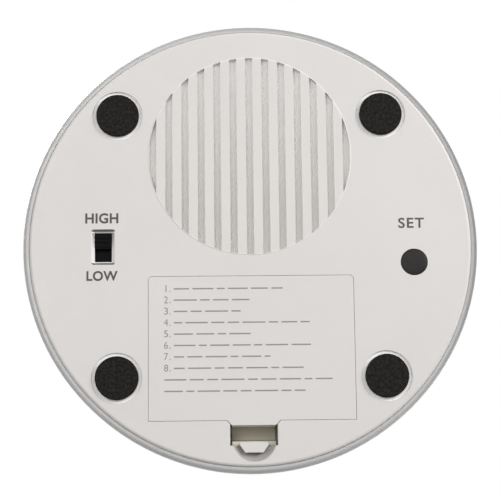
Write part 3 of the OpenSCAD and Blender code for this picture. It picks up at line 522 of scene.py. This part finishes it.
def pebbles(x, y):
    """Height from 0 to 1 of a skin of close round bumps: three cosine waves whose crests lie 60
    degrees apart make a hexagonal grid, and a slow sine bends the grid so that it isn't regular.
    Their sum goes from -1.5 to 3, and a power under 1 makes the bumps broad and the gaps narrow."""
    x = x + GRID_BEND * np.sin(BEND_X[0] * x + BEND_X[1] * y)
    y = y + GRID_BEND * np.sin(BEND_Y[0] * x + BEND_Y[1] * y)
    total = sum(np.cos(2 * math.pi / PEBBLE * (x * math.cos(a) + y * math.sin(a)))
                for a in (0, math.pi / 3, 2 * math.pi / 3))
    return np.clip((total + 1.5) / 4.5, 0, 1) ** PEBBLE_CREST


def pad_skin(centre, radius, top):
    """Vertices and faces of one pad in mm. Its profile is turned about the centre: a ring of the
    radius r and the height z has its points at r cos(angle), r sin(angle), z. The rings run from the
    middle of the face over a quarter round of radius PAD_EDGE and up the side to the back. On the
    face, z is PEBBLE_DEPTH times one less the pebbles' height, fading to 0 towards the round."""
    turn = np.linspace(0, 2 * math.pi, PAD_SECTORS, endpoint=False)
    flat = np.linspace(PAD_MIDDLE, radius - PAD_EDGE, PAD_RINGS)
    bend = np.linspace(-math.pi / 2, 0, PAD_EDGE_RINGS + 1)[1:]
    ring_r = np.concatenate([flat, radius - PAD_EDGE + PAD_EDGE * np.cos(bend), [radius, PAD_MIDDLE]])
    ring_z = np.concatenate([np.zeros(PAD_RINGS), PAD_EDGE + PAD_EDGE * np.sin(bend), [top, top]])
    r, angle = np.meshgrid(ring_r, turn, indexing="ij")
    z = np.repeat(ring_z[:, None], PAD_SECTORS, 1)
    x, y = centre[0] + r * np.cos(angle), centre[1] + r * np.sin(angle)
    inside = np.clip((radius - PAD_EDGE - r[:PAD_RINGS]) / PAD_SMOOTH, 0, 1)
    z[:PAD_RINGS] += PEBBLE_DEPTH * inside * (1 - pebbles(x[:PAD_RINGS], y[:PAD_RINGS]))
    index = np.arange(len(ring_r) * PAD_SECTORS).reshape(len(ring_r), PAD_SECTORS)
    beside = np.roll(index, -1, axis=1)
    faces = np.stack([index[:-1], index[1:], beside[1:], beside[:-1]], -1).reshape(-1, 4).tolist()
    faces += [index[0].tolist(), index[-1][::-1].tolist()]
    return np.stack([x, y, z], -1).reshape(-1, 3), faces


skins = [pad_skin((sx * pad_place / MM, sy * pad_place / MM), PAD_RADIUS / MM, pads_high.z / MM)
         for sx in (-1, 1) for sy in (-1, 1)]
pad_skins = piece("pad_skins", skins, rubber, "case", smooth=True)
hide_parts("foot_pads")
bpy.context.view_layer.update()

# %% [markdown]
# Behind the grille lies a thin woven screen that keeps dust off the cone. Its threads are finer than
# a pixel, so they are a bump and a slight change of colour made by two crossed waves. The screen is
# painted lighter at the case's edge and darker towards its middle, a painted shade on the floors of the
# slots. The foam gasket round the speaker is dark, and the same waves, made coarser, stand for its
# pores.

# %% Woven screen behind the grille
THREAD = 0.42 * MM
THREAD_TONES = (0.94, 1.04)
SCREEN_OUTER = (0.98, 0.965, 0.94)
# The screen's colour is painted light and shade: lighter at the case's edge, darker towards the middle.
SCREEN_SHADED = (0.79, 0.772, 0.75)
SCREEN_SHADE_SPAN = (-46 * MM, -8 * MM)
GASKET_THREAD = 0.9 * MM
GASKET = (0.03, 0.029, 0.028)
WEAVE_DEPTH = 0.05 * MM


def woven(name, colour, thread, shaded=None):
    """A plain weave: its height is the sine of X times the sine of Y, each with a half wave per
    thread. Where a second colour is given, the cloth is painted darker towards it along Y from the
    case's edge towards its middle, a painted shade for the floors of the slots."""
    finish = Finish(name)
    half_wave = math.pi / thread
    across = finish.maths("SINE", finish.maths("MULTIPLY", finish.axis("X"), half_wave))
    along = finish.maths("SINE", finish.maths("MULTIPLY", finish.axis("Y"), half_wave))
    weave = finish.spread(finish.maths("MULTIPLY", across, along), 0, 1, -1, 1)
    tones = [tone(colour, t) for t in THREAD_TONES]
    if shaded:
        middle = finish.spread(finish.axis("Y"), 0, 1, *SCREEN_SHADE_SPAN)
        tones = [finish.mix(middle, outer, tone(shaded, t)) for outer, t in zip(tones, THREAD_TONES)]
    finish.set(base_color=finish.mix(weave, *tones), roughness=0.8)
    return finish.relief(weave, WEAVE_DEPTH)


woven("screen_weave", SCREEN_OUTER, THREAD, SCREEN_SHADED).dress("grille_screen")
woven("gasket_foam", GASKET, GASKET_THREAD).dress("speaker_gasket")

# %% [markdown]
# The metal inside is of three kinds: zinc-plated sheet and screws, bright nickel on the battery
# contacts, and the dark sintered ferrite of the speaker's magnet. Plating has a faint crystalline
# mottle and lies unevenly, so its roughness wanders more than its colour does.

# %% Metals inside
PATCH_TONES = (0.88, 1.08)
PATCH_ROUGHNESS = (-0.08, 0.1)
CRYSTALS_PER_PATCH = 8


def plated(name, colour, roughness, mottle):
    """A plated metal, with mottle metres between its patches."""
    finish = Finish(name)
    patch = finish.noise(mottle, 4, 0.6)
    spans = [roughness + step for step in PATCH_ROUGHNESS]
    finish.set(base_color=finish.mix(patch, *(tone(colour, t) for t in PATCH_TONES)), metallic=1.0,
               roughness=finish.spread(patch, *spans, *NOISE_SPAN))
    return finish.grain(mottle / CRYSTALS_PER_PATCH, 0.008 * MM, 0.5)


plated("zinc_sheet", (0.62, 0.62, 0.6), 0.38, 4 * MM).dress("speaker_frame", "crystal_can")
plated("zinc_screws", (0.56, 0.56, 0.55), 0.34, 1 * MM).dress(
    "speaker_screws", "board_screws", "case_screws", "button_screws", "button_washers")
nickel = plated("nickel_contacts", (0.7, 0.68, 0.63), 0.24, 2 * MM).dress("contact_plates")

# %% Ferrite of the magnet
FERRITE_GREYS = ((0.05, 0.05, 0.055), (0.085, 0.085, 0.09))

ferrite = Finish("sintered_ferrite")
ferrite.set(base_color=ferrite.mix(ferrite.noise(0.6 * MM, 4), *FERRITE_GREYS), roughness=0.62)
ferrite.grain(0.3 * MM, 0.03 * MM, 0.7, detail=4, roughness=0.7).dress("speaker_magnet")

# %% [markdown]
# The three springs that press on the cells show when the door is open, and the CAD node has wire of
# six sides. Here the same cone-shaped coil is swept again with a round wire: a small circle is carried
# along the path, across the path's own direction. The wire of the springs under the dome is swept by
# the same function. Those springs get shorter as the dome is pressed, but here they ride on the case
# at their rest length.

# %% Round wire of the springs
WIRE_R = 0.25
COIL_SIDES = 12
COIL_STEPS = 34
X, Z = np.eye(3)[[0, 2]]


def coil(start, climb, zero, turns, radii, length):
    """Vertices and faces of a coil in mm. Its path at the angle a is start + along * climb + across *
    (cos(a) * zero + sin(a) * climb x zero). Across goes evenly from radii[0] to radii[1] and along
    evenly from two to length less two wire radii, and at each end the wire runs straight along the
    climb for two radii more. A circle of points stands across the path at each of its steps."""
    t = np.linspace(0, 1, turns * COIL_STEPS + 1)
    along = np.concatenate([[0], 2 * WIRE_R + (length - 4 * WIRE_R) * t, [length]])
    across = radii[0] + (radii[1] - radii[0]) * np.concatenate([[0], t, [1]])
    angle = 2 * math.pi * turns * np.concatenate([[0], t, [1]])
    outward = np.cos(angle)[:, None] * zero + np.sin(angle)[:, None] * np.cross(climb, zero)
    path = np.array(start) + along[:, None] * climb + across[:, None] * outward
    heading = np.gradient(path, axis=0)
    heading /= np.linalg.norm(heading, axis=1)[:, None]
    side = outward - (outward * heading).sum(1)[:, None] * heading
    side /= np.linalg.norm(side, axis=1)[:, None]
    other = np.cross(heading, side)
    turn = np.linspace(0, 2 * math.pi, COIL_SIDES, endpoint=False)
    circle = (np.cos(turn)[None, :, None] * side[:, None]
              + np.sin(turn)[None, :, None] * other[:, None])
    points = (path[:, None] + WIRE_R * circle).reshape(-1, 3)
    index = np.arange(len(points)).reshape(len(path), COIL_SIDES)
    beside = np.roll(index, -1, axis=1)
    faces = np.stack([index[:-1], beside[:-1], beside[1:], index[1:]], -1).reshape(-1, 4).tolist()
    return points, faces + [index[0][::-1].tolist(), index[-1].tolist()]


# %% Springs behind the cells
CELLS = 3
CELL_COIL_TURNS = 3
CELL_COIL_R = (3.8, 2.2)
CELL_COIL_LENGTH = 3.3

cells_low, cells_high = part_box("battery_cells")
coil_ends = [corner.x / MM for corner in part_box("battery_springs")]
cell_d = (cells_high.z - cells_low.z) / MM
cell_pitch = ((cells_high.y - cells_low.y) / MM - cell_d) / (CELLS - 1)
cell_middle = (cells_low.z + cells_high.z) / 2 / MM
first_cell = cells_low.y / MM + cell_d / 2
cell_coils = [coil((coil_ends[i % 2], first_cell + i * cell_pitch, cell_middle), -X if i % 2 else X,
                   -Z, CELL_COIL_TURNS, CELL_COIL_R, CELL_COIL_LENGTH) for i in range(CELLS)]
wire_coils = piece("wire_coils", cell_coils, nickel, "case", smooth=True)
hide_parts("battery_springs")

# %% Springs under the dome
DOME_COIL_TURNS = 4
DOME_COIL_R = (3.6, 3.6)
PEG_R = 26
PEG_ANGLES = np.radians([90, 210, 330])

dome_low, dome_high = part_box("button_springs")
dome_length = (dome_high.z - dome_low.z) / MM
under_dome = [coil((PEG_R * math.cos(a), PEG_R * math.sin(a), dome_low.z / MM), Z, X,
                   DOME_COIL_TURNS, DOME_COIL_R, dome_length) for a in PEG_ANGLES]
dome_coils = piece("dome_coils", under_dome, nickel, "case", smooth=True)
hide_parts("button_springs")
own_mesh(dome_coils)

# %% [markdown]
# The cone is pressed paper pulp: matt, dark, with short fibres that lie every way. Noise is stretched
# along one axis, so that its blobs become strands.

# %% Paper of the cone
PULP = ((0.02, 0.019, 0.018), (0.04, 0.038, 0.036))

paper = Finish("pressed_paper")
fibre = paper.add("ShaderNodeMapping", {"Vector": paper.place, "Scale": (1, 5, 1)}).outputs["Vector"]
paper.set(base_color=paper.mix(paper.noise(1.2 * MM, 5, 0.7, fibre), *PULP), roughness=0.85)
paper.grain(0.5 * MM, 0.04 * MM, 0.8, detail=5, roughness=0.7, place=fibre).dress("speaker_cone")

# %% [markdown]
# Two of the circuit boards are cheap paper laminate, tan with darker fibres, and the main board has a
# green solder mask. Copper tracks under the mask show as slightly raised lighter lines, which a
# stepped wave draws without modelling a circuit.

# %% Circuit boards
LAMINATE = ((0.42, 0.26, 0.1), (0.56, 0.37, 0.16))
TRACK_PITCH = 1.27 * MM
TRACK_EDGE = 0.2
TRACK_SHIFTS = 8
SHIFT_STEP = 0.12
MASK_GREENS = ((0.012, 0.085, 0.03), (0.03, 0.2, 0.07))

laminate = Finish("paper_laminate")
laminate.set(base_color=laminate.mix(laminate.noise(1.5 * MM, 5, 0.65), *LAMINATE), roughness=0.48)
laminate.grain(0.5 * MM, 0.01 * MM).dress("volume_board", "top_board")

mask = Finish("solder_mask")
steps = mask.maths("SNAP", mask.noise(9 * MM, 0), SHIFT_STEP)
lane = mask.maths("ADD", mask.axis("X"), mask.maths("MULTIPLY", steps, TRACK_SHIFTS * TRACK_PITCH))
wave = mask.maths("SINE", mask.maths("MULTIPLY", lane, 2 * math.pi / TRACK_PITCH))
track = mask.maths("GREATER_THAN", wave, TRACK_EDGE)
mask.set(base_color=mask.mix(track, *MASK_GREENS), roughness=0.3)
mask.relief(track, 0.03 * MM).dress("main_board")

# %% Chip and capacitor
EPOXY_BLACKS = ((0.014, 0.014, 0.014), (0.026, 0.026, 0.026))
SLEEVE_BLUES = ((0.016, 0.024, 0.1), (0.026, 0.036, 0.14))

epoxy = Finish("black_epoxy")
epoxy.set(base_color=epoxy.mix(epoxy.noise(2 * MM, 3), *EPOXY_BLACKS), roughness=0.4)
epoxy.grain(1.5 * MM, 0.08 * MM).dress("voice_chip")

sleeve = Finish("capacitor_sleeve")
sleeve.set(base_color=sleeve.mix(sleeve.noise(2 * MM), *SLEEVE_BLUES), roughness=0.28)
sleeve.grain(1 * MM, 0.01 * MM, detail=2).dress("capacitor")

# %% [markdown]
# The three cells have a plain shrunk sleeve and bare steel ends. The sleeve stops a little short of
# each end, so the colour changes along X, the direction in which the cells lie. They lie in turn with
# the nub to the right and to the left, so the flat end, which is the nearer one, sets the limit.

# %% Cells
CELL_LENGTH = 44.5 * MM
BARE_END = 1.5 * MM
SLEEVE_COLOUR = (0.03, 0.09, 0.26)
SLEEVE_LIGHTER = 1.3
STEEL = (0.6, 0.6, 0.58)

flat_end = CELL_LENGTH - cells_high.x
cell = Finish("cell_sleeve")
bare_end = cell.maths("GREATER_THAN", cell.maths("ABSOLUTE", cell.axis("X")), flat_end - BARE_END)
blue = cell.mix(cell.noise(7 * MM), SLEEVE_COLOUR, tone(SLEEVE_COLOUR, SLEEVE_LIGHTER))
cell.set(base_color=cell.mix(bare_end, blue, STEEL), metallic=bare_end,
         roughness=cell.spread(cell.noise(2 * MM, 3), 0.22, 0.34))
cell.grain(1.6 * MM, 0.02 * MM, 0.4, detail=2).dress("battery_cells")
print("materials:", len(bpy.data.materials))

# %% [markdown]
# The words beside the two controls are printed in dark grey ink. A text object gives their outlines,
# which are turned into a mesh and then fitted to the box that each word fills on the cover.
# Ink has a thickness, so the letters stand a fiftieth of a millimetre proud of the plastic.

# %% Ink and printed words
INK_DEPTH = 0.02 * MM
INK = (0.05, 0.047, 0.045)
THIN_INK = 1.5
LETTER_STEPS = 6
LETTER_EXTRUDE = 0.5
VOLUME_WORDS = {"HIGH": (-41.4, -8.2, -33.1, -5.55), "LOW": (-41.0, 6.5, -33.2, 9.05)}
VOLUME_WEIGHT = 0.03
SET_BOX = (37.15, -6.4, 43.65, -3.75)
SET_WEIGHT = 0.018
SET_SPACING = 1.1


def ink_finish(name, colour):
    """Matt ink that is a little thin in places."""
    finish = Finish(name)
    finish.set(base_color=finish.mix(finish.noise(0.6 * MM, 4, 0.7), colour, tone(colour, THIN_INK)),
               roughness=0.55)
    return finish.grain(0.2 * MM, 0.004 * MM)


def letters(text, left, top, right, bottom, weight=0.0, spacing=1.0):
    """Vertices and faces of a word, bold by weight, that fills a box on the cover's face, in mm.
    It reads along +X with its foot towards +Y, and faces down. The outline's lowest and highest
    corners go to the corners of the box, and every point in between in proportion."""
    curve = bpy.data.curves.new("word", "FONT")
    curve.body = text
    curve.offset = weight
    curve.space_character = spacing + 2 * weight
    curve.resolution_u = LETTER_STEPS
    curve.extrude = LETTER_EXTRUDE
    word = bpy.data.objects.new("word", curve)
    bpy.context.scene.collection.objects.link(word)
    bpy.context.view_layer.update()
    mesh = bpy.data.meshes.new_from_object(word.evaluated_get(bpy.context.evaluated_depsgraph_get()))
    points = np.array([v.co for v in mesh.vertices])
    faces = [tuple(p.vertices) for p in mesh.polygons]
    bpy.data.objects.remove(word)
    bpy.data.curves.remove(curve)
    bpy.data.meshes.remove(mesh)
    low, high = points.min(0), points.max(0)
    unit = (points - low) / (high - low)
    x = left + unit[:, 0] * (right - left)
    y = bottom + unit[:, 1] * (top - bottom)
    z = FACE_Z / MM - unit[:, 2] * INK_DEPTH / MM
    return np.column_stack((x, y, z)), faces


ink = ink_finish("dark_ink", INK)
volume_words = [letters(text, *box, VOLUME_WEIGHT) for text, box in VOLUME_WORDS.items()]
piece("volume_words", volume_words, ink, "case")
piece("set_word", [letters("SET", *SET_BOX, SET_WEIGHT, SET_SPACING)], ink, "case")

# %% [markdown]
# The door carries a small printed legend. Here it is a plain numbered list: the numerals one to eight,
# each followed by short strokes of ink where a maker would print words. The strokes are bars with
# round ends, and where one bar stops and the next starts comes from a wave, so no two lines look alike.

# %% Strokes of the legend
BAR_H = 0.34
WORD_GAP = 0.75
WORD_MEAN = 3.9
WORD_SWING = 1.9
PER_WORD = 2.3
PER_LINE = 1.7
SHORTEST_WORD = 1.2
SHORTEST_REST = 1.6


def bar(left, right, y, height, arc_points=6):
    """A flat bar with half-round ends, as a thin solid of ink. Its outline is two half circles, one
    about each end, and its walls join the outline on the plastic to the same one a coat lower."""
    r = height / 2
    turn = np.linspace(-math.pi / 2, math.pi / 2, arc_points)
    ends = [(right - r + r * np.cos(turn), y + r * np.sin(turn)),
            (left + r - r * np.cos(turn), y - r * np.sin(turn))]
    outline = np.concatenate([np.column_stack(end) for end in ends])
    count = len(outline)
    face = FACE_Z / MM
    points = np.concatenate([np.column_stack((outline, np.full(count, face))),
                             np.column_stack((outline, np.full(count, face - INK_DEPTH / MM)))])
    side = np.arange(count)
    after = (side + 1) % count
    walls = np.column_stack((side, side + count, after + count, after)).tolist()
    return points, [side.tolist(), (side[::-1] + count).tolist()] + walls


def word_ends(left, right, line):
    """Cuts a line into words of 2 to 6 mm: each length comes from a sine of its place in the list."""
    ends, x, k = [], left, 0
    while x < right - SHORTEST_WORD:
        length = WORD_MEAN + WORD_SWING * math.sin(PER_WORD * k + PER_LINE * line)
        stop = min(x + length, right)
        if right - stop < SHORTEST_REST:
            stop = right
        ends.append((x, stop))
        x = stop + WORD_GAP
        k += 1
    return ends


print("a line of 30 mm has", len(word_ends(0, 30, 0)), "words")

# %% Numbered legend on the door
LEGEND_INK = (0.22, 0.21, 0.205)
LEGEND_LEFT = -21.7
LEGEND_TOP = 11.1
LEGEND_PITCH = 2.84
LEGEND_RIGHT = [7.9, -0.4, -2.6, 14.5, -0.2, 14.7, 4.6, 12.8, 19.9, 13.2]
WORDS_LEFT = -19.3
WORDS_DROP = 0.1
NUMBERED = 8
NUMERAL_H = 1.75
NUMERAL_W = 1.0
ONE_IS_NARROWER = 0.38
STOP_AT = 1.35
STOP_SIZE = 0.3

legend = []
for line, line_right in enumerate(LEGEND_RIGHT):
    y = LEGEND_TOP + line * LEGEND_PITCH
    start = WORDS_LEFT if line < NUMBERED else LEGEND_LEFT
    if line < NUMBERED:
        narrow = ONE_IS_NARROWER if line == 0 else 0
        foot = y + NUMERAL_H / 2
        legend.append(letters(str(line + 1), LEGEND_LEFT + narrow, y - NUMERAL_H / 2,
                              LEGEND_LEFT + NUMERAL_W - narrow, foot))
        legend.append(bar(LEGEND_LEFT + STOP_AT, LEGEND_LEFT + STOP_AT + STOP_SIZE,
                          foot - STOP_SIZE / 2, STOP_SIZE))
    legend += [bar(a, b, y + WORDS_DROP, BAR_H) for a, b in word_ends(start, line_right, line)]
piece("door_legend", legend, ink_finish("legend_ink", LEGEND_INK), "door")

# %% [markdown]
# The clock stands on a plain pale floor. The camera of this lesson looks up from under that floor, so
# the floor shows only to a camera above it. Right under the clock it also lets light through from the
# lamps below, and everywhere else it is solid, so that it throws light and shade on the clock's side.
# Away from the clock it fades into the white of the room. The part that the clock covers is dark, as
# the floor in its shadow would be without the lamps below.

# %% Floor
FLOOR_RADIUS = 8.0
FLOOR_SIDES = 96
FLOOR_COLOUR = (0.86, 0.86, 0.86)
UNDER_COLOUR = (0.1, 0.1, 0.1)
FADE = (0.25, 1.1)
CONTACT = (56.2 * MM, 57.8 * MM)
CLEAR = (56.8 * MM, 58.0 * MM)

turn = np.linspace(0, 2 * math.pi, FLOOR_SIDES, endpoint=False)
floor_edge = np.column_stack((np.cos(turn), np.sin(turn), np.zeros(FLOOR_SIDES))) * FLOOR_RADIUS
floor_mesh = bpy.data.meshes.new("floor")
floor_mesh.from_pydata(floor_edge.tolist(), [], [tuple(range(FLOOR_SIDES))])
floor = bpy.data.objects.new("floor", floor_mesh)
bpy.context.scene.collection.objects.link(floor)
print("floor:", 2 * FLOOR_RADIUS, "m across")

# %% Pale floor that the lamps below shine through
ground = Finish("pale_floor")
far = ground.vector("LENGTH", ground.place)
ground.set(base_color=ground.mix(ground.spread(far, 1, 0, *CONTACT), FLOOR_COLOUR, UNDER_COLOUR),
           roughness=0.9)
white = ground.add("ShaderNodeEmission", {"Color": (1, 1, 1, 1), "Strength": 1.0})
faded = ground.add("ShaderNodeMixShader", {0: ground.spread(far, 0, 1, *FADE),
                                           1: ground.shader.outputs[0], 2: white.outputs[0]})
to_camera = ground.add("ShaderNodeLightPath").outputs["Is Camera Ray"]
from_below = ground.add("ShaderNodeNewGeometry").outputs["Backfacing"]
solid = ground.maths("MAXIMUM", to_camera, ground.spread(far, 0, 1, *CLEAR))
seen = ground.maths("MULTIPLY", solid, ground.maths("SUBTRACT", 1.0, from_below))
clear = ground.add("ShaderNodeBsdfTransparent")
shown = ground.add("ShaderNodeMixShader", {0: seen, 1: clear.outputs[0], 2: faded.outputs[0]})
ground.put(ground.tree.nodes["Material Output"].inputs["Surface"], shown.outputs[0])
floor_mesh.materials.append(ground.material)
print("floor's finish:", ground.count, "nodes")

# %% [markdown]
# The light is a bright white room with soft lamps. Underneath, one wide lamp stands a little to the
# left, so the left side of each slot of the grille lies in its wall's shade, and a weak one opposite
# keeps that shade soft and lights the rim at the right. Two lamps low at the right and the left
# brighten the walls that face sideways and leave those that face the near or the far edge dull. The
# pair above lights the dome.

# %% Lamps
LAMPS = {
    "lamp_under_wide": ((-0.32, -0.24, -1.06), 3.12, 0.5),
    "lamp_under_counter": ((0.37, -0.28, -0.85), 0.75, 0.3),
    "lamp_under_right": ((0.65, -0.38, -0.45), 4.9, 0.35),
    "lamp_under_left": ((-0.65, -0.38, -0.45), 0.8, 0.35),
    "lamp_over_key": ((-0.45, -0.5, 0.75), 6.2, 0.5),
    "lamp_over_fill": ((0.7, 0.35, 0.5), 2.2, 0.7),
}

for name, (place, watts, size) in LAMPS.items():
    light = bpy.data.lights.new(name, "AREA")
    light.shape = "SQUARE"
    light.size = size
    light.energy = watts
    lamp = bpy.data.objects.new(name, light)
    bpy.context.scene.collection.objects.link(lamp)
    lamp.location = place
    lamp.rotation_mode = "QUATERNION"
    lamp.rotation_quaternion = Vector(place).to_track_quat("Z", "Y")
    print(f"{name}: {watts} W, {Vector(place).length:.2f} m away")

# %% [markdown]
# The room itself gives a weak, even light. What a camera, a reflection or a clear material sees of it
# is plain white at a strength of 1, so the background is white and no light is added to the clock.

# %% Room
ROOM_LIGHT = 0.3
WHITE = (1, 1, 1, 1)

world = bpy.data.worlds.new("white_room")
bpy.context.scene.world = world
world.use_nodes = True
tree = world.node_tree
weak = tree.nodes["Background"]
weak.inputs["Color"].default_value = WHITE
weak.inputs["Strength"].default_value = ROOM_LIGHT
full = tree.nodes.new("ShaderNodeBackground")
full.inputs["Color"].default_value = WHITE
full.inputs["Strength"].default_value = 1.0
rays = tree.nodes.new("ShaderNodeLightPath").outputs


def either(first, second):
    """The larger of two masks, which is 1 where one of them is 1."""
    node = tree.nodes.new("ShaderNodeMath")
    node.operation = "MAXIMUM"
    tree.links.new(first, node.inputs[0])
    tree.links.new(second, node.inputs[1])
    return node.outputs[0]


looked_at = either(either(rays["Is Camera Ray"], rays["Is Glossy Ray"]), rays["Is Transmission Ray"])
choose = tree.nodes.new("ShaderNodeMixShader")
for socket, source in zip(choose.inputs, (looked_at, weak.outputs[0], full.outputs[0])):
    tree.links.new(source, socket)
tree.links.new(choose.outputs[0], tree.nodes["World Output"].inputs["Surface"])
bpy.context.scene.view_settings.view_transform = "Standard"
print("room light:", ROOM_LIGHT)
